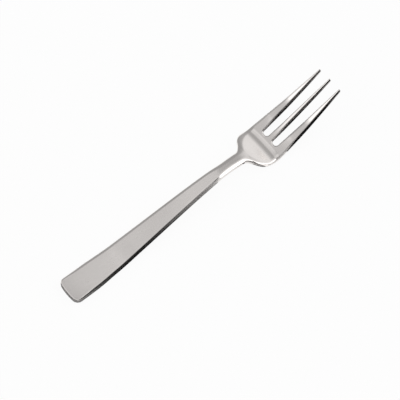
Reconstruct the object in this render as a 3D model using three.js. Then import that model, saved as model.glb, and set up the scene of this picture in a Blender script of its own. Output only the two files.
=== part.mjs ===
// Three-tined fish fork, blanked and pressed from one strip of stainless steel.
// Millimetres. +X runs from the handle's end to the tips, +Y is the fork's left, +Z is up.
// The origin is on the table, under the middle of the fork's length.
import * as THREE from "three";
import { mergeVertices } from "three/addons/utils/BufferGeometryUtils.js";

const { clamp, lerp, smoothstep } = THREE.MathUtils;

// Lengths along the fork, from the handle's end to the tips
const HANDLE_PARALLEL = 14;
const HANDLE_TAPER = 91;
const NECK_LENGTH = 15;
const FLARE_LENGTH = 4.7;
const SHOULDER_LENGTH = 8.3;
const BOWL_LENGTH = 8.6;
const TINE_LENGTH = 43.4;

// Widths across the blank
const HANDLE_WIDTH = 15.8;
const TAPER_END_WIDTH = 7.2;
const NECK_WIDTH = 7.4;
const FLARE_WIDTH = 14.9;
const FLARE_SLOPE = 1.6;
const MIDDLE_TINE_WIDTH = 3.6;
const OUTER_TINE_WIDTH = 6.2;
const SLOT_WIDTH = 4.2;
const TIP_WIDTH = 1.4;
const TIP_PITCH = 8.05;

// Corners of the blank
const END_CORNER_RADIUS = 3.0;
const END_BOW = 0.4;
const SLOT_CORNER_RADIUS = 1.7;
const TIP_RADIUS = 0.55;

// Thickness of the strip after rolling, and the slopes at which it swells at the roots and thins at the tips
const HANDLE_GAUGE = 3.4;
const NECK_GAUGE = 3.6;
const HEAD_GAUGE = 2.5;
const TINE_GAUGE = 3.4;
const TIP_GAUGE = 2.1;
const ROOT_SWELL = 0.06;
const TIP_THINNING = -0.07;

// Rounding of the cut edges: how far in from the outline it starts
const END_REACH = 0.9;
const HANDLE_REACH = 1.7;
const NECK_REACH = 1.8;
const SHOULDER_REACH = 4.4;
const RIM_REACH = 2.6;
const TINE_REACH = 1.3;
const SLOT_REACH = 0.3;
// How far the face drops at the outline, and the share of that by which the back rises
const END_DROP = 0.7;
const HANDLE_DROP = 0.9;
const NECK_DROP = 1.6;
const SHOULDER_DROP = 1.6;
const RIM_DROP = 0.5;
const TINE_DROP = 1.1;
const SLOT_DROP = 0.3;
const BACK_SHARE = 0.4;
// Lengths over which the rounding changes at the neck and at the roots of the tines
const NECK_RUN = 7;
const ROUNDING_RUN = 12;

// Heights of the pressed underside above the table, and the slopes at which it passes them
const END_LIFT = 1.3;
const REST_START = 22;
const REST_LENGTH = 8;
const ARCH_RUN = 15;
const ARCH_LIFT = 1.55;
const ARCH_SLOPE = 0.12;
const CREST_BACK = 2;
const CREST_LIFT = 8.0;
const CREST_SLOPE = 0.03;
const CREST_BEND = 4;
const CREST_FALL = 0.4;
const CREST_FALL_SLOPE = -0.1;
const FALL_RUN = 4;
const FALL_LIFT = 6.75;
const FALL_SLOPE = -0.19;
const NECK_LIFT = 5.9;
const NECK_SLOPE = -0.25;
const FLARE_LIFT = 4.5;
const FLARE_FALL = -0.34;
const BOWL_FOOT_LIFT = 1.0;
const BOWL_SLOPE = -0.45;
const BOWL_BEND = 4.5;
const FOOT_RUN = 4.4;
const FOOT_LIFT = 1.8;
const FOOT_SLOPE = 0.31;
const TINE_BEND = 14.4;
const TINE_LIFT = 5.45;
const TINE_SLOPE = 0.44;
const TIP_LIFT = 20.2;
const TIP_SLOPE = 0.56;
// The outer tines sweep up a little later than the middle one
const TINE_LAG = 0.55;
const LAG_START = 8;
const LAG_LENGTH = 14;

// Bowl: how far the rim stands above the middle, how flat its floor is, how far it runs on between the tines
const DISH_DEPTH = 0.5;
const DISH_POWER = 3;
const DISH_RUN_OUT = 20;

// An edge rounding takes at most this share of the thickness or of a tine's width
const EDGE_SHARE = 0.46;
// Points of a rounded edge, as shares of its reach in from the outline
const EDGE_POINTS = [0, 0.1, 0.4, 1];
// The matching points on uncut metal, as shares of a strip's width
const PLAIN_POINTS = [0, 0.08, 0.16, 0.25];
// Points across the metal behind a slot, as shares of its width, two for each root corner
const SLOT_POINTS = [0, 0.1, 0.34, 0.66, 0.9, 1];
// Where uncut metal is divided into strips, as shares of the half width
const PLAIN_SLOT_CENTRE = 0.7;
const PLAIN_SLOT_HALF = 0.1;
// Step along the fork over which the slope of its outline is measured
const SLOPE_STEP = 0.05;
const MERGE_DISTANCE = 1e-4;

// Stations along the fork
const xTaper = HANDLE_PARALLEL;
const xCrest = xTaper + HANDLE_TAPER;
const xNeck = xCrest + NECK_LENGTH;
const xFlare = xNeck + FLARE_LENGTH;
const xHead = xFlare + SHOULDER_LENGTH;
const xRoot = xHead + BOWL_LENGTH;
const xRootEnd = xRoot + SLOT_CORNER_RADIUS;
const xTip = xRoot + TINE_LENGTH;
const xBend = xRoot + TINE_BEND;
const xRestEnd = REST_START + REST_LENGTH;

// A smooth curve through [x, value, slope] nodes
function curveThrough(nodes) {
  return (x) => {
    let i = 0;
    while (i < nodes.length - 2 && x > nodes[i + 1][0]) i += 1;
    const [x0, v0, s0] = nodes[i];
    const [x1, v1, s1] = nodes[i + 1];
    const span = x1 - x0;
    const t = clamp((x - x0) / span, 0, 1);
    const rise = t * t * (3 - 2 * t);
    return v0 + (v1 - v0) * rise + span * t * (1 - t) * (s0 * (1 - t) - s1 * t);
  };
}

// What a round corner takes off an outline at a distance `run` from the corner's start
function corner(radius, run) {
  const short = clamp(radius - run, 0, radius);
  return radius - Math.sqrt(radius * radius - short * short);
}

// Distance inside two edges that meet square, a and b away, with a round corner between them
function rounded(a, b, radius) {
  if (a >= radius || b >= radius) return Math.min(a, b);
  return radius - Math.hypot(radius - a, radius - b);
}

// Half width of the outline: parallel end, straight taper, neck, shoulders, head and outer tines
const headHalf = MIDDLE_TINE_WIDTH / 2 + SLOT_WIDTH + OUTER_TINE_WIDTH;
const tipHalf = TIP_PITCH + TIP_WIDTH / 2;
const taperSlope = (TAPER_END_WIDTH - HANDLE_WIDTH) / 2 / HANDLE_TAPER;
const tineTaper = (tipHalf - headHalf) / TINE_LENGTH;
const outline = curveThrough([
  [0, HANDLE_WIDTH / 2, 0],
  [xTaper, HANDLE_WIDTH / 2, 0],
  [xTaper + HANDLE_PARALLEL, HANDLE_WIDTH / 2 + taperSlope * HANDLE_PARALLEL, taperSlope],
  [xCrest, TAPER_END_WIDTH / 2, taperSlope],
  [xNeck, NECK_WIDTH / 2, 0],
  [xFlare, FLARE_WIDTH / 2, FLARE_SLOPE],
  [xHead, headHalf, 0],
  [xRoot, headHalf, tineTaper],
  [xTip, tipHalf, tineTaper],
]);

// Length of the outline for each unit along the fork
function outlineSlant(x) {
  return Math.hypot(1, (outline(x + SLOPE_STEP) - outline(x - SLOPE_STEP)) / (2 * SLOPE_STEP));
}

function halfWidth(x) {
  return outline(x) - corner(END_CORNER_RADIUS, x) - corner(TIP_RADIUS, xTip - x);
}

// Slots: square roots with round corners, and sides that open towards the tips
const slotCentreAtRoot = (MIDDLE_TINE_WIDTH + SLOT_WIDTH) / 2;
const slotCentreAtTip = TIP_PITCH / 2;
const slotHalfAtTip = (TIP_PITCH - TIP_WIDTH) / 2;

function slotCentre(x) {
  const plain = PLAIN_SLOT_CENTRE * halfWidth(x);
  const towardsTip = clamp((x - xRootEnd) / (xTip - xRootEnd), 0, 1);
  return lerp(lerp(plain, slotCentreAtRoot, smoothstep(x, xNeck, xHead)), slotCentreAtTip, towardsTip);
}

function slotHalf(x) {
  const plain = PLAIN_SLOT_HALF * halfWidth(x);
  const towardsTip = clamp((x - xRootEnd) / (xTip - xRootEnd), 0, 1);
  const straight = lerp(lerp(plain, SLOT_WIDTH / 2, smoothstep(x, xNeck, xHead)), slotHalfAtTip, towardsTip);
  return straight + corner(TIP_RADIUS, xTip - x);
}

// The pressed shape: underside profile, thickness, dish and edge rounding along the fork
const underside = curveThrough([
  [0, END_LIFT, -2 * END_LIFT / REST_START],
  [REST_START, 0, 0],
  [xRestEnd, 0, 0],
  [xRestEnd + ARCH_RUN, ARCH_LIFT, ARCH_SLOPE],
  [xCrest - CREST_BACK, CREST_LIFT, CREST_SLOPE],
  [xCrest + CREST_BEND, CREST_LIFT - CREST_FALL, CREST_FALL_SLOPE],
  [xNeck - FALL_RUN, FALL_LIFT, FALL_SLOPE],
  [xNeck, NECK_LIFT, NECK_SLOPE],
  [xFlare, FLARE_LIFT, FLARE_FALL],
  [xHead, BOWL_FOOT_LIFT, BOWL_SLOPE],
  [xHead + BOWL_BEND, 0, 0],
  [xRoot + FOOT_RUN, FOOT_LIFT, FOOT_SLOPE],
  [xBend, TINE_LIFT, TINE_SLOPE],
  [xTip, TIP_LIFT, TIP_SLOPE],
]);

const gauge = curveThrough([
  [0, HANDLE_GAUGE, 0],
  [xRestEnd, HANDLE_GAUGE, 0],
  [xNeck, NECK_GAUGE, 0],
  [xRoot, HEAD_GAUGE, ROOT_SWELL],
  [xBend, TINE_GAUGE, 0],
  [xTip, TIP_GAUGE, TIP_THINNING],
]);

const dishAlong = curveThrough([
  [0, 0, 0],
  [xHead, 0, 0],
  [xRoot, DISH_DEPTH, 0],
  [xRoot + DISH_RUN_OUT, 0, 0],
  [xTip, 0, 0],
]);

// A measure of the outline's rounding: at the end, on the handle, neck, shoulders, rim and tines
function alongEdges(end, handle, neck, shoulder, rim, tine) {
  return curveThrough([
    [0, end, 0],
    [END_CORNER_RADIUS, end, 0],
    [xTaper, handle, 0],
    [xCrest - NECK_RUN, handle, 0],
    [xCrest + NECK_RUN, neck, 0],
    [xNeck, neck, 0],
    [xHead - FLARE_LENGTH, shoulder, 0],
    [xHead + BOWL_BEND / 2, rim, 0],
    [xRoot, rim, 0],
    [xRoot + ROUNDING_RUN, tine, 0],
    [xTip, tine, 0],
  ]);
}

// A measure of the slots' rounding, from its values at their roots and on the tines
function alongSlots(root, tine) {
  return curveThrough([
    [xRootEnd, root, 0],
    [xRootEnd + ROUNDING_RUN, tine, 0],
    [xTip, tine, 0],
  ]);
}

const edgeReach = alongEdges(END_REACH, HANDLE_REACH, NECK_REACH, SHOULDER_REACH, RIM_REACH, TINE_REACH);
const edgeDrop = alongEdges(END_DROP, HANDLE_DROP, NECK_DROP, SHOULDER_DROP, RIM_DROP, TINE_DROP);
const slotReach = alongSlots(SLOT_REACH, TINE_REACH);
const slotDrop = alongSlots(SLOT_DROP, TINE_DROP);

// Distances in plan from a point of the blank to the outline and to the nearest slot
function edgeDistances(x, y) {
  const side = (outline(x) - Math.abs(y)) / outlineSlant(x);
  const fromCentre = Math.abs(Math.abs(y) - slotCentre(Math.max(x, xRoot)));
  const fromFlat = Math.max(fromCentre - SLOT_WIDTH / 2 + SLOT_CORNER_RADIUS, 0);
  const slot = x < xRootEnd
    ? Math.hypot(xRootEnd - x, fromFlat) - SLOT_CORNER_RADIUS
    : fromCentre - slotHalf(x) + corner(TIP_RADIUS, xTip - x);
  const toOutline = Math.min(rounded(side, x, END_CORNER_RADIUS), rounded(side, xTip - x, TIP_RADIUS));
  return [Math.max(toOutline, 0), Math.max(rounded(slot, xTip - x, TIP_RADIUS), 0)];
}

// How far the rounded edges bring the face down at a point of the blank
function edgeFall(x, y) {
  const [toOutline, toSlot] = edgeDistances(x, y);
  const most = EDGE_SHARE * gauge(x);
  const atOutline = Math.min(edgeDrop(x), most) * corner(1, toOutline / edgeReach(x));
  const atSlot = Math.min(slotDrop(x), most) * corner(1, toSlot / slotReach(x));
  return Math.max(atOutline, atSlot);
}

// A point of the blank, raised to the face or lowered to the back of the pressed fork
function press(x, y, onFace) {
  const fall = edgeFall(x, y);
  const bow = END_BOW * Math.max(1 - x / HANDLE_PARALLEL, 0) * Math.pow(2 * y / HANDLE_WIDTH, 2);
  const outer = smoothstep(Math.abs(y), MIDDLE_TINE_WIDTH / 2, MIDDLE_TINE_WIDTH / 2 + SLOT_WIDTH);
  const lag = TINE_LAG * outer * smoothstep(x, xRoot + LAG_START, xRoot + LAG_START + LAG_LENGTH);
  const back = underside(x) + dishAlong(x) * Math.pow(Math.abs(y) / headHalf, DISH_POWER) - lag;
  return new THREE.Vector3(x + bow, y, onFace ? back + gauge(x) - fall : back + BACK_SHARE * fall);
}

// Steps from one station to the next: even, or crowded at the start as a round corner needs
function evenSteps(from, to, count) {
  return Array.from({ length: count }, (_, i) => lerp(from, to, i / count));
}

function cornerSteps(from, radius, count) {
  return Array.from({ length: count }, (_, i) => from + radius * (1 - Math.cos(i / count * Math.PI / 2)));
}

const xTipStart = xTip - TIP_RADIUS;
const stations = [
  ...cornerSteps(0, END_CORNER_RADIUS, 5),
  ...evenSteps(END_CORNER_RADIUS, REST_START, 3),
  REST_START,
  ...evenSteps(xRestEnd, xCrest, 11),
  ...evenSteps(xCrest, xNeck, 6),
  ...evenSteps(xNeck, xFlare, 6),
  ...evenSteps(xFlare, xHead, 7),
  ...evenSteps(xHead, xRootEnd - SLOT_REACH, 7),
  ...EDGE_POINTS.slice(1).reverse().map((share) => xRootEnd - share * SLOT_REACH),
  ...evenSteps(xRootEnd, xTipStart, 14),
  ...cornerSteps(xTip, -TIP_RADIUS, 4).reverse(),
];

// Points [x, y] across a tine's strip, crowded at each edge by how far that edge is cut free (0 to 1)
function tineStrip(x, low, high) {
  const width = high.y - low.y;
  const inset = (k, edge) => {
    const reach = Math.min(edge.reach, EDGE_SHARE * width);
    return lerp(PLAIN_POINTS[k] * width, EDGE_POINTS[k] * reach, edge.cut);
  };
  const fromLow = EDGE_POINTS.map((_, k) => [x, low.y + inset(k, low)]);
  const fromHigh = EDGE_POINTS.map((_, k) => [x, high.y - inset(k, high)]);
  return [...fromLow, ...fromHigh.reverse()];
}

// Points [x, y] across the metal behind a slot, drawn back towards the root so that the last row is its edge
function slotStrip(x, low, high) {
  const width = high - low;
  const drawnBack = clamp((x - xHead) / (xRootEnd - xHead), 0, 1);
  return SLOT_POINTS.map((share) => {
    const fromSide = Math.min(share, 1 - share) * SLOT_WIDTH;
    const back = SLOT_CORNER_RADIUS - corner(SLOT_CORNER_RADIUS, fromSide);
    return [x - drawnBack * back, low + share * width];
  });
}

// The strips side by side at one station: tine, slot metal, tine, slot metal, tine
function stripsAt(x) {
  const side = halfWidth(x);
  const inner = slotCentre(x) - slotHalf(x);
  const outer = slotCentre(x) + slotHalf(x);
  const atOutline = (y) => ({ y, cut: 1, reach: edgeReach(x) * outlineSlant(x) });
  const atSlot = (y) => ({ y, cut: smoothstep(x, xNeck, xHead), reach: slotReach(x) });
  return [
    tineStrip(x, atOutline(-side), atSlot(-outer)),
    slotStrip(x, -outer, -inner),
    tineStrip(x, atSlot(-inner), atSlot(inner)),
    slotStrip(x, inner, outer),
    tineStrip(x, atSlot(outer), atOutline(side)),
  ];
}

// The fork's skin: face, back and cut edges, strip by strip. Slot metal stops at the roots.
function forkGeometry() {
  const positions = [];
  const quad = (a, b, c, d) => {
    for (const point of [a, b, c, a, c, d]) positions.push(point.x, point.y, point.z);
  };
  const rows = stations.map((station) => stripsAt(station).map((points) => ({
    face: points.map(([x, y]) => press(x, y, true)),
    back: points.map(([x, y]) => press(x, y, false)),
  })));
  const rearWall = ({ face, back }) => {
    for (let k = 0; k < face.length - 1; k += 1) quad(face[k], face[k + 1], back[k + 1], back[k]);
  };
  const frontWall = ({ face, back }) => {
    for (let k = 0; k < face.length - 1; k += 1) quad(back[k], back[k + 1], face[k + 1], face[k]);
  };
  const rootRow = stations.indexOf(xRootEnd);
  const lastRow = stations.length - 1;
  for (let s = 0; s < rows[0].length; s += 1) {
    const isSlot = s % 2 === 1;
    const endRow = isSlot ? rootRow : lastRow;
    for (let i = 0; i < endRow; i += 1) {
      const here = rows[i][s];
      const next = rows[i + 1][s];
      const last = here.face.length - 1;
      for (let k = 0; k < last; k += 1) {
        quad(here.face[k], next.face[k], next.face[k + 1], here.face[k + 1]);
        quad(here.back[k], here.back[k + 1], next.back[k + 1], next.back[k]);
      }
      const cutFree = i >= rootRow;
      if (s === 0 || cutFree) quad(here.back[0], next.back[0], next.face[0], here.face[0]);
      if (s === rows[i].length - 1 || cutFree) {
        quad(here.face[last], next.face[last], next.back[last], here.back[last]);
      }
    }
    rearWall(rows[0][s]);
    frontWall(rows[endRow][s]);
  }
  const skin = new THREE.BufferGeometry();
  skin.setAttribute("position", new THREE.Float32BufferAttribute(positions, 3));
  const closed = mergeVertices(skin, MERGE_DISTANCE);
  closed.computeVertexNormals();
  return closed;
}

const steel = new THREE.MeshStandardMaterial({ color: 0xc6c3bf, roughness: 0.3, metalness: 1 });
const fork = new THREE.Mesh(forkGeometry(), steel);
fork.name = "fork";
fork.position.x = -xTip / 2;

const group = new THREE.Group();
group.add(fork);

export default group;
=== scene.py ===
"""Looks of a three-tined fish fork in stainless steel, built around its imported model."""
import math

import bpy
import numpy as np
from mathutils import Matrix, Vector


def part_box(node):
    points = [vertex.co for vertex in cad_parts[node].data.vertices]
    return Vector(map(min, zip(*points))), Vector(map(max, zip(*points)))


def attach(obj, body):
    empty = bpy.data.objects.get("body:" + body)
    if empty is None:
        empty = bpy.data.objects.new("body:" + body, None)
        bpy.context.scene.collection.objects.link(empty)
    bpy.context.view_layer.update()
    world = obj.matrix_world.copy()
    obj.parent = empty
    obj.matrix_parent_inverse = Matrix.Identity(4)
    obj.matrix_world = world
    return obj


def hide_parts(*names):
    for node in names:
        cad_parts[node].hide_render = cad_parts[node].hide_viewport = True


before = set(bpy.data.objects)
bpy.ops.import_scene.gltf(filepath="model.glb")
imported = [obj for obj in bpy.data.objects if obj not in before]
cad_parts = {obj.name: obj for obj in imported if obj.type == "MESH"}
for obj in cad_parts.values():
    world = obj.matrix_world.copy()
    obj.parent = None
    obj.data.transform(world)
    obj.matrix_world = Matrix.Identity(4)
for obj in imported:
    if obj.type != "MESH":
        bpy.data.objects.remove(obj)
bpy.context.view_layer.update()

# The fork is worked out in millimetres and placed in metres
MM = 0.001

# Lengths along the fork, from the handle's end to the tips
HANDLE_PARALLEL = 14.0
HANDLE_TAPER = 91.0
NECK_LENGTH = 15.0
FLARE_LENGTH = 4.7
SHOULDER_LENGTH = 8.3
BOWL_LENGTH = 8.6
TINE_LENGTH = 43.4

# Widths across the blank
HANDLE_WIDTH = 15.8
TAPER_END_WIDTH = 7.2
NECK_WIDTH = 7.4
FLARE_WIDTH = 14.9
FLARE_SLOPE = 1.6
MIDDLE_TINE_WIDTH = 3.6
OUTER_TINE_WIDTH = 6.2
SLOT_WIDTH = 4.2
TIP_WIDTH = 1.4
TIP_PITCH = 8.05

# Corners of the blank, and how far the handle's end is bowed
END_CORNER_RADIUS = 3.0
END_BOW = 0.9
SLOT_CORNER_RADIUS = 1.7
TIP_RADIUS = 0.55

# Thickness of the strip after rolling, and its slopes at the roots and at the tips
HANDLE_GAUGE = 3.4
NECK_GAUGE = 3.6
HEAD_GAUGE = 2.5
TINE_GAUGE = 3.4
TIP_GAUGE = 2.1
ROOT_SWELL = 0.06
TIP_THINNING = -0.07

# Rounding of the cut edges: how far in from the outline it starts, and how far the face drops there
END_REACH = 0.9
HANDLE_REACH = 1.7
NECK_REACH = 2.7
SHOULDER_REACH = 4.4
RIM_REACH = 2.6
TINE_REACH = 1.3
SLOT_REACH = 0.8
END_DROP = 0.7
HANDLE_DROP = 0.9
NECK_DROP = 1.6
SHOULDER_DROP = 1.6
RIM_DROP = 0.9
TINE_DROP = 1.1
SLOT_DROP = 0.7

# Lengths over which the rounding changes, at the roots and at the neck, and the back's share of the drop
ROUNDING_RUN = 12.0
NECK_RUN = 7.0
BACK_SHARE = 0.4

# Heights of the pressed underside above the table, its slopes there, and the lengths between them
END_LIFT = 1.3
REST_START = 22.0
REST_LENGTH = 8.0
ARCH_RUN = 15.0
ARCH_LIFT = 1.55
ARCH_SLOPE = 0.12
CREST_BACK = 2.0
CREST_LIFT = 8.0
CREST_SLOPE = 0.03
CREST_BEND = 4.0
CREST_FALL = 0.4
CREST_FALL_SLOPE = -0.1
FALL_RUN = 4.0
FALL_LIFT = 6.75
FALL_SLOPE = -0.19
NECK_LIFT = 5.9
NECK_SLOPE = -0.25
FLARE_LIFT = 4.5
FLARE_FALL = -0.34
BOWL_FOOT_LIFT = 1.0
BOWL_SLOPE = -0.45
BOWL_BEND = 4.5
FOOT_RUN = 4.4
FOOT_LIFT = 1.8
FOOT_SLOPE = 0.31
TINE_BEND = 14.4
TINE_LIFT = 5.45
TINE_SLOPE = 0.44
TIP_LIFT = 20.2
TIP_SLOPE = 0.56

# Outer tines: how far they lie below the middle one, where past the roots that starts, and its length
TINE_LAG = 0.55
LAG_START = 8.0
LAG_LENGTH = 14.0

# Bowl: how far the rim stands above the middle, how flat its floor is, how far it runs on along the tines
DISH_DEPTH = 0.5
DISH_POWER = 3.0
DISH_RUN_OUT = 20.0

# Blocks of the mesh's columns that are tines, with slots between them
TINE_BLOCKS = (0, 2, 4)

# Steps of the mesh across an edge, the middle of a tine, the metal behind a slot, and the cut wall
EDGE_STEPS = 8
TINE_STEPS = 6
SLOT_STEPS = 16
WALL_STEPS = 3

# Rows of the mesh along the fork
END_ROWS = 18
REST_ROWS = 26
ARCH_ROWS = 84
NECK_ROWS = 30
FLARE_ROWS = 22
SHOULDER_ROWS = 34
BOWL_ROWS = 30
ROOT_ROWS = 6
TINE_ROWS = 80
TIP_ROWS = 12

# Share of a strip's width that an edge's steps take: at most where it is cut free, and where it is not
REACH_LIMIT = 0.46
PLAIN_EDGE_SHARE = 0.3

# Shares of the half width at which a slot's columns run through the handle, where there is no slot
PLAIN_SLOT_CENTRE = 0.7
PLAIN_SLOT_HALF = 0.1

# Step over which the outline's slope is measured
SLOPE_STEP = 0.02

# Polish: its share on neck and bowl, and how far in from the edge it is full and ends, in handle reaches
HEAD_POLISH = 0.5
FULL_POLISH_SHARE = 0.3
LAST_POLISH_SHARE = 1.2

# Steel: its colour, and the roughness of its two finishes
STEEL_COLOUR = (0.76, 0.727, 0.707)
SATIN_ROUGHNESS = 0.24
POLISHED_ROUGHNESS = 0.08

# Grinding marks, scratches and clouding: marks to the metre along x, y and z, fineness, and scratches' turn
GRAIN_SCALE = (140, 5200, 5200)
SCRATCH_SCALE = (90, 1900, 1900)
CLOUD_SCALE = (45, 90, 90)
GRAIN_DETAIL = 3.0
SCRATCH_DETAIL = 1.0
CLOUD_DETAIL = 2.0
SCRATCH_TURN = 0.35

# Part of the noise's range that is used, for grain and clouding and for the rarer scratches
NOISE_RANGE = (0.3, 0.7)
SCRATCH_RANGE = (0.68, 0.78)

# What they change: roughness by grain and by scratches, tone by clouding, and relief by grain
GRAIN_SHARE = 0.06
SCRATCH_SHARE = 0.1
CLOUD_SHARE = 0.025
GRAIN_HEIGHT = 0.000004
GRAIN_STRENGTH = 0.5

# Directions in the studio, by the fork's axes: right is towards the tips, far is to the fork's left
RIGHT = (1, 0, 0)
LEFT = (-1, 0, 0)
FAR = (0, 1, 0)
UP = (0, 0, 1)
LEFT_AND_DOWN = (-0.917, 0, -0.399)
LEFT_AND_FAR = (-0.62, 0.78, 0)

# Levels of the studio dome: its ceiling, and those that two panels share
CEILING_LEVEL = 0.805
FAR_LEVEL = 0.48
SOFTBOX_LEVEL = 1.8

# Panels of the dome, each over those before it: name, level, and where along each direction it fades in
DOME_PANELS = (
    ("left_ceiling", 0.9, ((RIGHT, 0.16, 0.05),)),
    ("left_wall", 0.67, ((LEFT, 0.0, 0.05),)),
    ("far_wall", FAR_LEVEL, ((UP, 0.96, 0.86), (RIGHT, 0.26, 0.42), (FAR, 0.1, 0.25))),
    ("far_edge", FAR_LEVEL, ((FAR, 0.4, 0.58),)),
    ("far_strip", 0.42, ((FAR, 0.32, 0.45), (RIGHT, -0.12, 0.0), (RIGHT, 0.75, 0.55))),
    ("front", 0.45, ((FAR, 0.1, -0.15),)),
    ("deep_front", 0.015, ((FAR, -0.1, -0.3),)),
    ("right_softbox", SOFTBOX_LEVEL, ((RIGHT, 0.24, 0.4), (FAR, 0.05, -0.2))),
    ("low_right", 1.0, ((UP, 0.77, 0.34), (RIGHT, 0.5, 0.7), (FAR, 0.46, 0.3), (FAR, -0.3, -0.15))),
    ("left_softbox", SOFTBOX_LEVEL, ((LEFT_AND_DOWN, -0.005, 0.14), (LEFT_AND_FAR, 0.27, 0.45))),
)

# Floor: its size, the colour that light falls on, and how much of it is plain white to the eye
FLOOR_SIZE = 30.0
FLOOR_COLOUR = (0.93, 0.93, 0.93, 1.0)
FLOOR_WHITE_SHARE = 0.94

# Level cards that only the metal sees, painting shade into its reflections of the floor: their height above
# the floor, and the edges that they share
CARD_HEIGHT = 0.0001
CARD_LEFT = -0.105
CARD_RIGHT = 0.14
CARD_NEAR = -0.13
TINE_CARD_NEAR = -0.0115

# Left, right, far and near edges of the level cards, and all four corners of the one out in front
HANDLE_CARD = (CARD_LEFT, 0.012, 0.012, CARD_NEAR)
TINE_CARD = (0.0505, CARD_RIGHT, 0.03, TINE_CARD_NEAR)
NEAR_TINE_CARD = (0.053, CARD_RIGHT, TINE_CARD_NEAR, CARD_NEAR)
SHOULDER_CARD = (0.0292, 0.0365, -0.0055, -0.03)
FRONT_CARD = ((CARD_LEFT, CARD_NEAR), (CARD_RIGHT, CARD_NEAR), (2.0, -6.0), (-5.0, -6.0))

# Upright flags that only the metal sees, painting shade and light into its reflections: the two ends of
# their feet, and their heights
END_FLAG = ((-0.13, 0.07), (-0.13, -0.07))
NEAR_FLAG = ((-0.13, -0.045), (0.03, -0.045))
RIM_FLAG = ((0.0445, -0.02), (0.0515, -0.02))
END_FLAG_HEIGHT = 0.085
NEAR_FLAG_HEIGHT = 0.2
RIM_FLAG_HEIGHT = 0.03

# Tones of the painted reflections in cards and flags, mostly painted shade: one tone, or stops of place and
# tone from left to right
HANDLE_REFLECTION_TONES = (
    (0.0, 0.5), (0.2, 0.32), (0.25, 0.2), (0.33, 0.05), (0.45, 0.01), (0.64, 0.07), (0.73, 0.17),
    (0.82, 0.33), (0.92, 0.42), (1.0, 0.75),
)
TINE_REFLECTION_TONES = (
    (0.0, 0.5), (0.06, 0.28), (0.11, 0.08), (0.15, 0.01), (0.41, 0.01), (0.45, 0.1), (0.49, 0.35),
    (0.53, 0.7),
)
NEAR_TINE_REFLECTION_TONES = ((0.0, 0.35), (0.05, 0.12), (0.09, 0.01), (0.41, 0.01), (0.45, 0.1), (0.5, 0.4))
SHOULDER_REFLECTION_TONE = 0.35
FRONT_REFLECTION_TONE = 0.01
END_REFLECTION_TONE = 0.2
NEAR_REFLECTION_TONES = (
    (0.0, 0.7), (0.27, 0.7), (0.306, 0.5), (0.341, 0.3), (0.394, 0.08), (0.531, 0.02), (0.621, 0.06),
    (0.694, 0.18), (0.756, 0.28), (0.88, 0.32), (0.95, 0.6), (1.0, 0.9),
)
RIM_REFLECTION_TONE = 0.8

# Camera, as found from the fork's outline in the picture: angles in degrees, lens and sensor in millimetres
CAMERA_AZIMUTH = -39.72
CAMERA_ELEVATION = 67.25
CAMERA_DISTANCE = 0.900
CAMERA_TARGET = (-0.0027, -0.0027, 0.0)
CAMERA_LENS = 148.4
CAMERA_SENSOR = 36.0
CAMERA_CLIP = (0.01, 100.0)

# Stations along the fork
x_taper = HANDLE_PARALLEL
x_crest = x_taper + HANDLE_TAPER
x_neck = x_crest + NECK_LENGTH
x_flare = x_neck + FLARE_LENGTH
x_head = x_flare + SHOULDER_LENGTH
x_root = x_head + BOWL_LENGTH
x_root_end = x_root + SLOT_CORNER_RADIUS
x_bend = x_root + TINE_BEND
x_tip = x_root + TINE_LENGTH
x_tip_start = x_tip - 2 * TIP_RADIUS
x_rest_end = REST_START + REST_LENGTH


# Curves and outline of the blank

def curve_through(nodes):
    """A smooth curve through (x, value, slope) nodes, as a function of an array."""
    at, value, slope = (np.array(column, float) for column in zip(*nodes))

    def curve(x):
        i = np.clip(np.searchsorted(at, x) - 1, 0, len(at) - 2)
        span = at[i + 1] - at[i]
        t = np.clip((x - at[i]) / span, 0, 1)
        rise = t * t * (3 - 2 * t)
        lean = span * t * (1 - t) * (slope[i] * (1 - t) - slope[i + 1] * t)
        return value[i] + (value[i + 1] - value[i]) * rise + lean

    return curve


def corner(radius, run):
    """What a round corner takes off an outline at a distance run from the corner's start."""
    short = np.clip(radius - run, 0, radius)
    return radius - np.sqrt(radius * radius - short * short)


def rounded(a, b, radius):
    """Distance inside two edges that meet square, a and b away, with a round corner between them."""
    outside = np.hypot(np.maximum(radius - a, 0), np.maximum(radius - b, 0))
    return np.where((a < radius) & (b < radius), radius - outside, np.minimum(a, b))


def smooth(x, low, high):
    """From 0 to 1, with a soft start and end, as x goes from low to high."""
    t = np.clip((x - low) / (high - low), 0, 1)
    return t * t * (3 - 2 * t)


def mix(a, b, share):
    """From a to b as the share goes from 0 to 1."""
    return a + (b - a) * share


head_half = MIDDLE_TINE_WIDTH / 2 + SLOT_WIDTH + OUTER_TINE_WIDTH
tip_half = TIP_PITCH + TIP_WIDTH / 2
taper_slope = (TAPER_END_WIDTH - HANDLE_WIDTH) / 2 / HANDLE_TAPER
tine_taper = (tip_half - head_half) / TINE_LENGTH
outline = curve_through([
    (0, HANDLE_WIDTH / 2, 0),
    (x_taper, HANDLE_WIDTH / 2, 0),
    (x_taper + HANDLE_PARALLEL, HANDLE_WIDTH / 2 + taper_slope * HANDLE_PARALLEL, taper_slope),
    (x_crest, TAPER_END_WIDTH / 2, taper_slope),
    (x_neck, NECK_WIDTH / 2, 0),
    (x_flare, FLARE_WIDTH / 2, FLARE_SLOPE),
    (x_head, head_half, 0),
    (x_root, head_half, tine_taper),
    (x_tip, tip_half, tine_taper),
])


def outline_slant(x):
    """Length of the outline for each unit along the fork."""
    slope = (outline(x + SLOPE_STEP) - outline(x - SLOPE_STEP)) / (2 * SLOPE_STEP)
    return np.hypot(1, slope)


def half_width(x):
    """Half the blank's width, with its end's and tips' corners taken off."""
    return outline(x) - corner(END_CORNER_RADIUS, x) - corner(TIP_RADIUS, x_tip - x)


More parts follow.
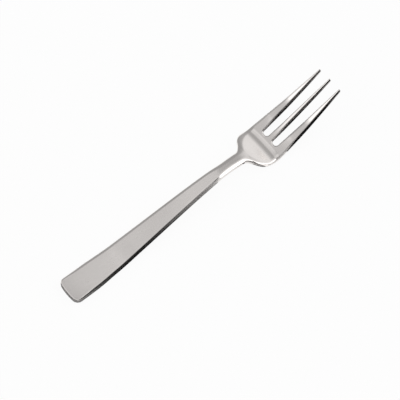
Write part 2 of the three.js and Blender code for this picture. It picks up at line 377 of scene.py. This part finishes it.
# Slots: square roots with round corners, and sides that open towards the tips
slot_centre_at_root = (MIDDLE_TINE_WIDTH + SLOT_WIDTH) / 2
slot_centre_at_tip = TIP_PITCH / 2
slot_half_at_tip = (TIP_PITCH - TIP_WIDTH) / 2


def towards_tip(x):
    """From 0 where the slots' sides start to 1 at the tips."""
    return np.clip((x - x_root_end) / (x_tip - x_root_end), 0, 1)


def slot_centre(x):
    """Distance from the fork's middle line to a slot's own."""
    at_root = mix(PLAIN_SLOT_CENTRE * half_width(x), slot_centre_at_root, smooth(x, x_neck, x_head))
    return mix(at_root, slot_centre_at_tip, towards_tip(x))


def slot_half(x):
    """Half a slot's width, which the tips' corners add to."""
    at_root = mix(PLAIN_SLOT_HALF * half_width(x), SLOT_WIDTH / 2, smooth(x, x_neck, x_head))
    return mix(at_root, slot_half_at_tip, towards_tip(x)) + corner(TIP_RADIUS, x_tip - x)


# The pressed shape: underside, thickness, dish and edge rounding along the fork
underside = curve_through([
    (0, END_LIFT, -2 * END_LIFT / REST_START),
    (REST_START, 0, 0),
    (x_rest_end, 0, 0),
    (x_rest_end + ARCH_RUN, ARCH_LIFT, ARCH_SLOPE),
    (x_crest - CREST_BACK, CREST_LIFT, CREST_SLOPE),
    (x_crest + CREST_BEND, CREST_LIFT - CREST_FALL, CREST_FALL_SLOPE),
    (x_neck - FALL_RUN, FALL_LIFT, FALL_SLOPE),
    (x_neck, NECK_LIFT, NECK_SLOPE),
    (x_flare, FLARE_LIFT, FLARE_FALL),
    (x_head, BOWL_FOOT_LIFT, BOWL_SLOPE),
    (x_head + BOWL_BEND, 0, 0),
    (x_root + FOOT_RUN, FOOT_LIFT, FOOT_SLOPE),
    (x_bend, TINE_LIFT, TINE_SLOPE),
    (x_tip, TIP_LIFT, TIP_SLOPE),
])
gauge = curve_through([
    (0, HANDLE_GAUGE, 0),
    (x_rest_end, HANDLE_GAUGE, 0),
    (x_neck, NECK_GAUGE, 0),
    (x_root, HEAD_GAUGE, ROOT_SWELL),
    (x_bend, TINE_GAUGE, 0),
    (x_tip, TIP_GAUGE, TIP_THINNING),
])
dish_along = curve_through([
    (0, 0, 0),
    (x_head, 0, 0),
    (x_root, DISH_DEPTH, 0),
    (x_root + DISH_RUN_OUT, 0, 0),
    (x_tip, 0, 0),
])


def along_edges(end, handle, neck, shoulder, rim, tine):
    """A measure of the outline's rounding: at the end, on the handle, neck, shoulders, rim and tines."""
    return curve_through([
        (0, end, 0),
        (END_CORNER_RADIUS, end, 0),
        (x_taper, handle, 0),
        (x_crest - NECK_RUN, handle, 0),
        (x_crest + NECK_RUN, neck, 0),
        (x_neck, neck, 0),
        (x_head - FLARE_LENGTH, shoulder, 0),
        (x_head + BOWL_BEND / 2, rim, 0),
        (x_root, rim, 0),
        (x_root + ROUNDING_RUN, tine, 0),
        (x_tip, tine, 0),
    ])


def along_slots(root, tine):
    """A measure of the slots' rounding, from its values at their roots and on the tines."""
    return curve_through([
        (x_root_end, root, 0),
        (x_root_end + ROUNDING_RUN, tine, 0),
        (x_tip, tine, 0),
    ])


edge_reach = along_edges(END_REACH, HANDLE_REACH, NECK_REACH, SHOULDER_REACH, RIM_REACH, TINE_REACH)
edge_drop = along_edges(END_DROP, HANDLE_DROP, NECK_DROP, SHOULDER_DROP, RIM_DROP, TINE_DROP)
slot_reach = along_slots(SLOT_REACH, TINE_REACH)
slot_drop = along_slots(SLOT_DROP, TINE_DROP)


def edge_distances(x, y):
    """Distances in plan from points of the blank to the outline and to the nearest slot."""
    side = (outline(x) - np.abs(y)) / outline_slant(x)
    from_centre = np.abs(np.abs(y) - slot_centre(np.maximum(x, x_root)))
    from_flat = np.maximum(from_centre - SLOT_WIDTH / 2 + SLOT_CORNER_RADIUS, 0)
    behind_root = np.hypot(x_root_end - x, from_flat) - SLOT_CORNER_RADIUS
    beside_slot = from_centre - slot_half(x) + corner(TIP_RADIUS, x_tip - x)
    slot = np.where(x < x_root_end, behind_root, beside_slot)
    to_outline = np.minimum(rounded(side, x, END_CORNER_RADIUS), rounded(side, x_tip - x, TIP_RADIUS))
    to_slot = rounded(slot, x_tip - x, TIP_RADIUS)
    return np.maximum(to_outline, 0), np.maximum(to_slot, 0)


def edge_fall(x, y):
    """How far the rounded edges bring the face down."""
    to_outline, to_slot = edge_distances(x, y)
    at_outline = edge_drop(x) * corner(1.0, to_outline / edge_reach(x))
    at_slot = slot_drop(x) * corner(1.0, to_slot / slot_reach(x))
    return np.maximum(at_outline, at_slot)


def press(x, y):
    """Face and back points of the pressed fork over points of the blank."""
    drop = edge_fall(x, y)
    bow = END_BOW * np.maximum(1 - x / HANDLE_PARALLEL, 0) * (2 * y / HANDLE_WIDTH) ** 2
    across = np.abs(y) / head_half
    outer = smooth(np.abs(y), MIDDLE_TINE_WIDTH / 2, MIDDLE_TINE_WIDTH / 2 + SLOT_WIDTH)
    lag = TINE_LAG * outer * smooth(x, x_root + LAG_START, x_root + LAG_START + LAG_LENGTH)
    back = underside(x) + dish_along(x) * across ** DISH_POWER - lag
    face = np.stack([x + bow, y, back + gauge(x) - drop], axis=-1)
    return face, np.stack([x + bow, y, back + BACK_SHARE * drop], axis=-1)


# The mesh: one grid of rows across the blank, from the handle's end to the tips

def even_steps(start, end, count):
    """Steps of one length, without the end itself."""
    return np.linspace(start, end, count, endpoint=False)


def round_steps(start, end, count):
    """Steps that are crowded at the start, as a rounded edge there needs."""
    turn = np.linspace(0, math.pi / 2, count, endpoint=False)
    return start + (end - start) * (1 - np.cos(turn))


def stations():
    """Places of the rows along the fork."""
    return np.concatenate([
        round_steps(0, END_CORNER_RADIUS, END_ROWS),
        even_steps(END_CORNER_RADIUS, x_rest_end, REST_ROWS),
        even_steps(x_rest_end, x_crest, ARCH_ROWS),
        even_steps(x_crest, x_neck, NECK_ROWS),
        even_steps(x_neck, x_flare, FLARE_ROWS),
        even_steps(x_flare, x_head, SHOULDER_ROWS),
        even_steps(x_head, x_root_end - SLOT_REACH, BOWL_ROWS),
        round_steps(x_root_end, x_root_end - SLOT_REACH, ROOT_ROWS)[::-1],
        even_steps(x_root_end, x_tip_start, TINE_ROWS)[1:],
        round_steps(x_tip, x_tip_start, TIP_ROWS)[::-1],
    ])


def tine_columns(low, high, low_cut, high_cut, low_reach, high_reach):
    """Points across a tine's strip, crowded at each edge by how far that edge is cut free (0 to 1)."""
    turn = np.linspace(0, math.pi / 2, EDGE_STEPS + 1)
    edge_shares = 1 - np.cos(turn)
    plain_shares = np.linspace(0, PLAIN_EDGE_SHARE, EDGE_STEPS + 1)
    width = (high - low)[:, None]
    low_reach = np.minimum(low_reach[:, None], REACH_LIMIT * width)
    high_reach = np.minimum(high_reach[:, None], REACH_LIMIT * width)
    from_low = low[:, None] + mix(plain_shares * width, edge_shares * low_reach, low_cut[:, None])
    from_high = high[:, None] - mix(plain_shares * width, edge_shares * high_reach, high_cut[:, None])
    between = np.linspace(0, 1, TINE_STEPS + 1)[1:-1]
    middle = mix(from_low[:, -1:], from_high[:, -1:], between)
    return np.concatenate([from_low, middle, from_high[:, ::-1]], axis=1)


def slot_columns(x, low, high):
    """Points across the metal behind a slot, drawn back so that the last row is the slot's root."""
    shares = (1 - np.cos(np.linspace(0, math.pi, SLOT_STEPS + 1)[1:-1])) / 2
    drawn_back = np.clip((x - x_head) / (x_root_end - x_head), 0, 1)[:, None]
    from_side = np.minimum(shares, 1 - shares) * SLOT_WIDTH
    back = SLOT_CORNER_RADIUS - corner(SLOT_CORNER_RADIUS, from_side)
    return x[:, None] - drawn_back * back, mix(low[:, None], high[:, None], shares)


def blank_grid():
    """The blank's points: x and y of every row and column, the blocks' widths and the root's row."""
    x = stations()
    side = half_width(x)
    inner = slot_centre(x) - slot_half(x)
    outer = slot_centre(x) + slot_half(x)
    cut = smooth(x, x_neck, x_head)
    whole = np.ones_like(x)
    at_side = edge_reach(x) * outline_slant(x)
    at_slot = slot_reach(x)
    right_tine = tine_columns(-side, -outer, whole, cut, at_side, at_slot)
    middle_tine = tine_columns(-inner, inner, cut, cut, at_slot, at_slot)
    left_tine = tine_columns(outer, side, cut, whole, at_slot, at_side)
    right_slot_x, right_slot = slot_columns(x, -outer, -inner)
    left_slot_x, left_slot = slot_columns(x, inner, outer)
    tine_x = np.repeat(x[:, None], middle_tine.shape[1], axis=1)
    grid_x = np.concatenate([tine_x, right_slot_x, tine_x, left_slot_x, tine_x], axis=1)
    blocks = [right_tine, right_slot, middle_tine, left_slot, left_tine]
    widths = [block.shape[1] for block in blocks]
    root_row = int(np.argmin(np.abs(x - x_root_end)))
    return grid_x, np.concatenate(blocks, axis=1), widths, root_row


def edge_loop(rows, widths, root_row):
    """Row and column of each point round the cut edge, once round the fork."""
    starts = np.concatenate([[0], np.cumsum(widths)])
    last = rows - 1
    loop = [(row, 0) for row in range(last)]
    for tine in TINE_BLOCKS:
        first, end = int(starts[tine]), int(starts[tine + 1]) - 1
        loop += [(last, column) for column in range(first, end)]
        if tine != TINE_BLOCKS[-1]:
            next_first = int(starts[tine + 2])
            loop += [(row, end) for row in range(last, root_row, -1)]
            loop += [(root_row, column) for column in range(end, next_first)]
            loop += [(row, next_first) for row in range(root_row, last)]
        else:
            loop += [(row, end) for row in range(last, 0, -1)]
            loop += [(0, column) for column in range(end, 0, -1)]
    return loop


def grid_quads(index, flip):
    """Four-sided faces of a grid of point numbers, turned over where asked, less those cut away."""
    a, b, c, d = index[:-1, :-1], index[1:, :-1], index[1:, 1:], index[:-1, 1:]
    ring = np.stack([a, d, c, b] if flip else [a, b, c, d], axis=-1).reshape(-1, 4)
    return ring[(ring >= 0).all(axis=1)]


def polish_over(x, y):
    """Where the steel is polished (1) rather than satin (0): edges, then neck and bowl, then tines."""
    to_outline = edge_distances(x, y)[0]
    at_edge = 1 - smooth(to_outline, FULL_POLISH_SHARE * HANDLE_REACH, LAST_POLISH_SHARE * HANDLE_REACH)
    on_head = HEAD_POLISH * smooth(x, x_crest, x_flare)
    on_tines = (1 - HEAD_POLISH) * smooth(x, x_head, x_root + FOOT_RUN)
    return np.maximum(at_edge, on_head + on_tines)


def fork_mesh():
    """Points, four-sided faces and polish of the whole fork: face, back and the cut wall between them."""
    grid_x, grid_y, widths, root_row = blank_grid()
    face, back = press(grid_x, grid_y)
    block_of = np.repeat(np.arange(len(widths)), widths)
    kept = np.ones(grid_x.shape, bool)
    kept[root_row + 1:, ~np.isin(block_of, TINE_BLOCKS)] = False
    count = int(kept.sum())
    face_index = np.full(grid_x.shape, -1)
    face_index[kept] = np.arange(count)
    back_index = np.where(kept, face_index + count, -1)
    points = [face[kept], back[kept]]
    quads = [grid_quads(face_index, False), grid_quads(back_index, True)]
    loop = tuple(np.array(edge_loop(len(grid_x), widths, root_row)).T)
    around = len(loop[0])
    rails = [face_index[loop]]
    for step in range(1, WALL_STEPS):
        rails.append(2 * count + (step - 1) * around + np.arange(around))
        points.append(mix(face[loop], back[loop], step / WALL_STEPS))
    rails.append(back_index[loop])
    for upper, lower in zip(rails, rails[1:]):
        quads.append(np.stack([upper, lower, np.roll(lower, -1), np.roll(upper, -1)], axis=-1))
    polish = polish_over(grid_x, grid_y)[kept]
    on_walls = np.ones((WALL_STEPS - 1) * around)
    return np.concatenate(points), np.concatenate(quads), np.concatenate([polish, polish, on_walls])


def make_fork():
    """The fork in one piece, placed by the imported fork's tips and kept inside its box."""
    low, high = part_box("fork")
    points, quads, polish = fork_mesh()
    points = points * MM
    points[:, 0] += high.x - x_tip * MM
    points = np.clip(points, low, high)
    mesh = bpy.data.meshes.new("fork_steel")
    mesh.from_pydata(points.tolist(), [], quads.tolist())
    mesh.validate()
    mesh.shade_smooth()
    mesh.attributes.new("polish", "FLOAT", "POINT").data.foreach_set("value", polish)
    mesh.materials.append(steel_material())
    fork = bpy.data.objects.new("fork_steel", mesh)
    bpy.context.scene.collection.objects.link(fork)
    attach(fork, "root")
    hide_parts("fork")


# Steel

def steel_material():
    """Stainless steel: satin handle with grinding marks, polished edges and tines, a few scratches."""
    material = bpy.data.materials.new("satin_steel")
    material.use_nodes = True
    nodes, links = material.node_tree.nodes, material.node_tree.links
    shader = nodes["Principled BSDF"]
    place = nodes.new("ShaderNodeTexCoord").outputs["Object"]

    def marks(scale, turn, detail):
        """Noise drawn out by a scale and turned about z."""
        mapping = nodes.new("ShaderNodeMapping")
        mapping.inputs["Scale"].default_value = scale
        mapping.inputs["Rotation"].default_value = (0, 0, turn)
        links.new(place, mapping.inputs["Vector"])
        noise = nodes.new("ShaderNodeTexNoise")
        noise.inputs["Scale"].default_value = 1.0
        noise.inputs["Detail"].default_value = detail
        links.new(mapping.outputs["Vector"], noise.inputs["Vector"])
        return noise.outputs["Fac"]

    def ramp(value, limits, start, end):
        """From start to end as the value goes between its limits."""
        scaled = nodes.new("ShaderNodeMapRange")
        scaled.inputs["From Min"].default_value = limits[0]
        scaled.inputs["From Max"].default_value = limits[1]
        scaled.inputs["To Min"].default_value = start
        scaled.inputs["To Max"].default_value = end
        links.new(value, scaled.inputs["Value"])
        return scaled.outputs["Result"]

    def added(a, b):
        """The sum of two values."""
        total = nodes.new("ShaderNodeMath")
        total.operation = "ADD"
        links.new(a, total.inputs[0])
        links.new(b, total.inputs[1])
        return total.outputs["Value"]

    polish = nodes.new("ShaderNodeAttribute")
    polish.attribute_name = "polish"
    grain = marks(GRAIN_SCALE, 0.0, GRAIN_DETAIL)
    scratches = marks(SCRATCH_SCALE, SCRATCH_TURN, SCRATCH_DETAIL)
    clouds = marks(CLOUD_SCALE, 0.0, CLOUD_DETAIL)
    finish = ramp(polish.outputs["Fac"], (0.0, 1.0), SATIN_ROUGHNESS, POLISHED_ROUGHNESS)
    grained = added(finish, ramp(grain, NOISE_RANGE, -GRAIN_SHARE / 2, GRAIN_SHARE / 2))
    worn = added(grained, ramp(scratches, SCRATCH_RANGE, 0.0, SCRATCH_SHARE))
    links.new(worn, shader.inputs["Roughness"])
    tone = nodes.new("ShaderNodeHueSaturation")
    tone.inputs["Color"].default_value = (*STEEL_COLOUR, 1.0)
    links.new(ramp(clouds, NOISE_RANGE, 1 - CLOUD_SHARE, 1 + CLOUD_SHARE), tone.inputs["Value"])
    links.new(tone.outputs["Color"], shader.inputs["Base Color"])
    relief = nodes.new("ShaderNodeBump")
    relief.inputs["Distance"].default_value = GRAIN_HEIGHT
    relief.inputs["Strength"].default_value = GRAIN_STRENGTH
    links.new(grain, relief.inputs["Height"])
    links.new(relief.outputs["Normal"], shader.inputs["Normal"])
    shader.inputs["Metallic"].default_value = 1.0
    return material


# Studio: dome, floor, cards, flags and camera

def make_dome():
    """A studio dome: a grey ceiling with darker and brighter panels laid over it."""
    world = bpy.data.worlds.new("studio_dome")
    world.use_nodes = True
    bpy.context.scene.world = world
    nodes, links = world.node_tree.nodes, world.node_tree.links
    direction = nodes.new("ShaderNodeTexCoord").outputs["Generated"]

    def along(axis, start, end):
        """From 0 to 1 as the part of the direction along an axis goes from start to end."""
        dot = nodes.new("ShaderNodeVectorMath")
        dot.operation = "DOT_PRODUCT"
        dot.inputs[1].default_value = Vector(axis).normalized()
        links.new(direction, dot.inputs[0])
        ramp = nodes.new("ShaderNodeMapRange")
        ramp.interpolation_type = "SMOOTHSTEP"
        ramp.inputs["From Min"].default_value = start
        ramp.inputs["From Max"].default_value = end
        links.new(dot.outputs["Value"], ramp.inputs["Value"])
        return ramp.outputs["Result"]

    def times(a, b):
        """The product of two values."""
        product = nodes.new("ShaderNodeMath")
        product.operation = "MULTIPLY"
        links.new(a, product.inputs[0])
        links.new(b, product.inputs[1])
        return product.outputs["Value"]

    light = None
    for name, strength, limits in DOME_PANELS:
        mask = along(*limits[0])
        for limit in limits[1:]:
            mask = times(mask, along(*limit))
        panel = nodes.new("ShaderNodeMix")
        panel.name = name
        panel.inputs["A"].default_value = CEILING_LEVEL
        panel.inputs["B"].default_value = strength
        links.new(mask, panel.inputs["Factor"])
        if light is not None:
            links.new(light, panel.inputs["A"])
        light = panel.outputs["Result"]
    links.new(light, nodes["Background"].inputs["Strength"])
    nodes["Background"].inputs["Color"].default_value = (1, 1, 1, 1)


def rectangle(left, right, far, near):
    """Corners from left to right along the far side and back along the near side."""
    return (left, far), (right, far), (right, near), (left, near)


def level(corners, height):
    """Corners of a card that lies level."""
    return [(x, y, height) for x, y in corners]


def upright(foot, height):
    """Corners of a card that stands on the floor."""
    start, end = foot
    return [(*start, height), (*end, height), (*end, 0.0), (*start, 0.0)]


def plane(name, corners, material):
    """A flat piece of the stage."""
    mesh = bpy.data.meshes.new(name)
    mesh.from_pydata(corners, [], [(3, 2, 1, 0)])
    mesh.materials.append(material)
    made = bpy.data.objects.new(name, mesh)
    bpy.context.scene.collection.objects.link(made)
    return made


def floor_material():
    """White ground that keeps the fork's shadow: part lit, part plain white to the eye and to metal."""
    material = bpy.data.materials.new("white_floor")
    material.use_nodes = True
    nodes, links = material.node_tree.nodes, material.node_tree.links
    nodes.remove(nodes["Principled BSDF"])
    lit = nodes.new("ShaderNodeBsdfDiffuse")
    lit.inputs["Color"].default_value = FLOOR_COLOUR
    white = nodes.new("ShaderNodeEmission")
    path = nodes.new("ShaderNodeLightPath")
    seen = path.outputs["Is Camera Ray"]
    for kind in ("Is Glossy Ray", "Is Transmission Ray"):
        either = nodes.new("ShaderNodeMath")
        either.operation = "MAXIMUM"
        links.new(seen, either.inputs[0])
        links.new(path.outputs[kind], either.inputs[1])
        seen = either.outputs["Value"]
    share = nodes.new("ShaderNodeMath")
    share.operation = "MULTIPLY"
    share.inputs[1].default_value = FLOOR_WHITE_SHARE
    links.new(seen, share.inputs[0])
    blend = nodes.new("ShaderNodeMixShader")
    links.new(share.outputs["Value"], blend.inputs["Fac"])
    links.new(lit.outputs["BSDF"], blend.inputs[1])
    links.new(white.outputs["Emission"], blend.inputs[2])
    links.new(blend.outputs["Shader"], nodes["Material Output"].inputs["Surface"])
    return material


def painted_reflection_material(name, tones):
    """Painted reflection for the metal: a dull surface of one tone, or graded from left to right."""
    material = bpy.data.materials.new(name)
    material.use_nodes = True
    nodes, links = material.node_tree.nodes, material.node_tree.links
    nodes.remove(nodes["Principled BSDF"])
    reflection_sheet = nodes.new("ShaderNodeBsdfDiffuse")
    links.new(reflection_sheet.outputs["BSDF"], nodes["Material Output"].inputs["Surface"])
    if isinstance(tones, float):
        reflection_sheet.inputs["Color"].default_value = (tones, tones, tones, 1.0)
        return material
    place = nodes.new("ShaderNodeSeparateXYZ")
    links.new(nodes.new("ShaderNodeTexCoord").outputs["Generated"], place.inputs["Vector"])
    grade = nodes.new("ShaderNodeValToRGB")
    links.new(place.outputs["X"], grade.inputs["Fac"])
    stops = grade.color_ramp.elements
    while len(stops) < len(tones):
        stops.new(0.5)
    for stop, (position, tone) in zip(stops, tones):
        stop.position = position
        stop.color = (tone, tone, tone, 1.0)
    links.new(grade.outputs["Color"], reflection_sheet.inputs["Color"])
    return material


def make_stage():
    """The floor, with the cards and flags that only the metal sees, which paint shade and light into its
    reflections.
    """
    half = FLOOR_SIZE / 2
    plane("floor", level(rectangle(-half, half, half, -half), 0.0), floor_material())
    cards = (
        ("handle_card", level(rectangle(*HANDLE_CARD), CARD_HEIGHT), HANDLE_REFLECTION_TONES),
        ("tine_card", level(rectangle(*TINE_CARD), CARD_HEIGHT), TINE_REFLECTION_TONES),
        ("near_tine_card", level(rectangle(*NEAR_TINE_CARD), CARD_HEIGHT), NEAR_TINE_REFLECTION_TONES),
        ("shoulder_card", level(rectangle(*SHOULDER_CARD), CARD_HEIGHT), SHOULDER_REFLECTION_TONE),
        ("front_card", level(FRONT_CARD, CARD_HEIGHT), FRONT_REFLECTION_TONE),
        ("end_flag", upright(END_FLAG, END_FLAG_HEIGHT), END_REFLECTION_TONE),
        ("near_flag", upright(NEAR_FLAG, NEAR_FLAG_HEIGHT), NEAR_REFLECTION_TONES),
        ("rim_flag", upright(RIM_FLAG, RIM_FLAG_HEIGHT), RIM_REFLECTION_TONE),
    )
    for name, corners, tones in cards:
        card = plane(name, corners, painted_reflection_material(name, tones))
        # Only the metal's reflections show them, as painted shade and light
        card.visible_camera = False
        card.visible_diffuse = False
        card.visible_transmission = False
        card.visible_shadow = False


def make_camera():
    """The camera, looking at its target from its angles and distance."""
    azimuth = math.radians(CAMERA_AZIMUTH)
    elevation = math.radians(CAMERA_ELEVATION)
    back = Vector((math.sin(azimuth) * math.cos(elevation),
                   -math.cos(azimuth) * math.cos(elevation),
                   math.sin(elevation)))
    data = bpy.data.cameras.new("camera")
    data.lens = CAMERA_LENS
    data.sensor_width = CAMERA_SENSOR
    data.clip_start, data.clip_end = CAMERA_CLIP
    camera = bpy.data.objects.new("camera", data)
    camera.location = Vector(CAMERA_TARGET) + back * CAMERA_DISTANCE
    camera.rotation_mode = "QUATERNION"
    camera.rotation_quaternion = (-back).to_track_quat("-Z", "Y")
    bpy.context.scene.collection.objects.link(camera)
    bpy.context.scene.camera = camera


bpy.context.scene.view_settings.view_transform = "Standard"
make_fork()
make_dome()
make_stage()
make_camera()
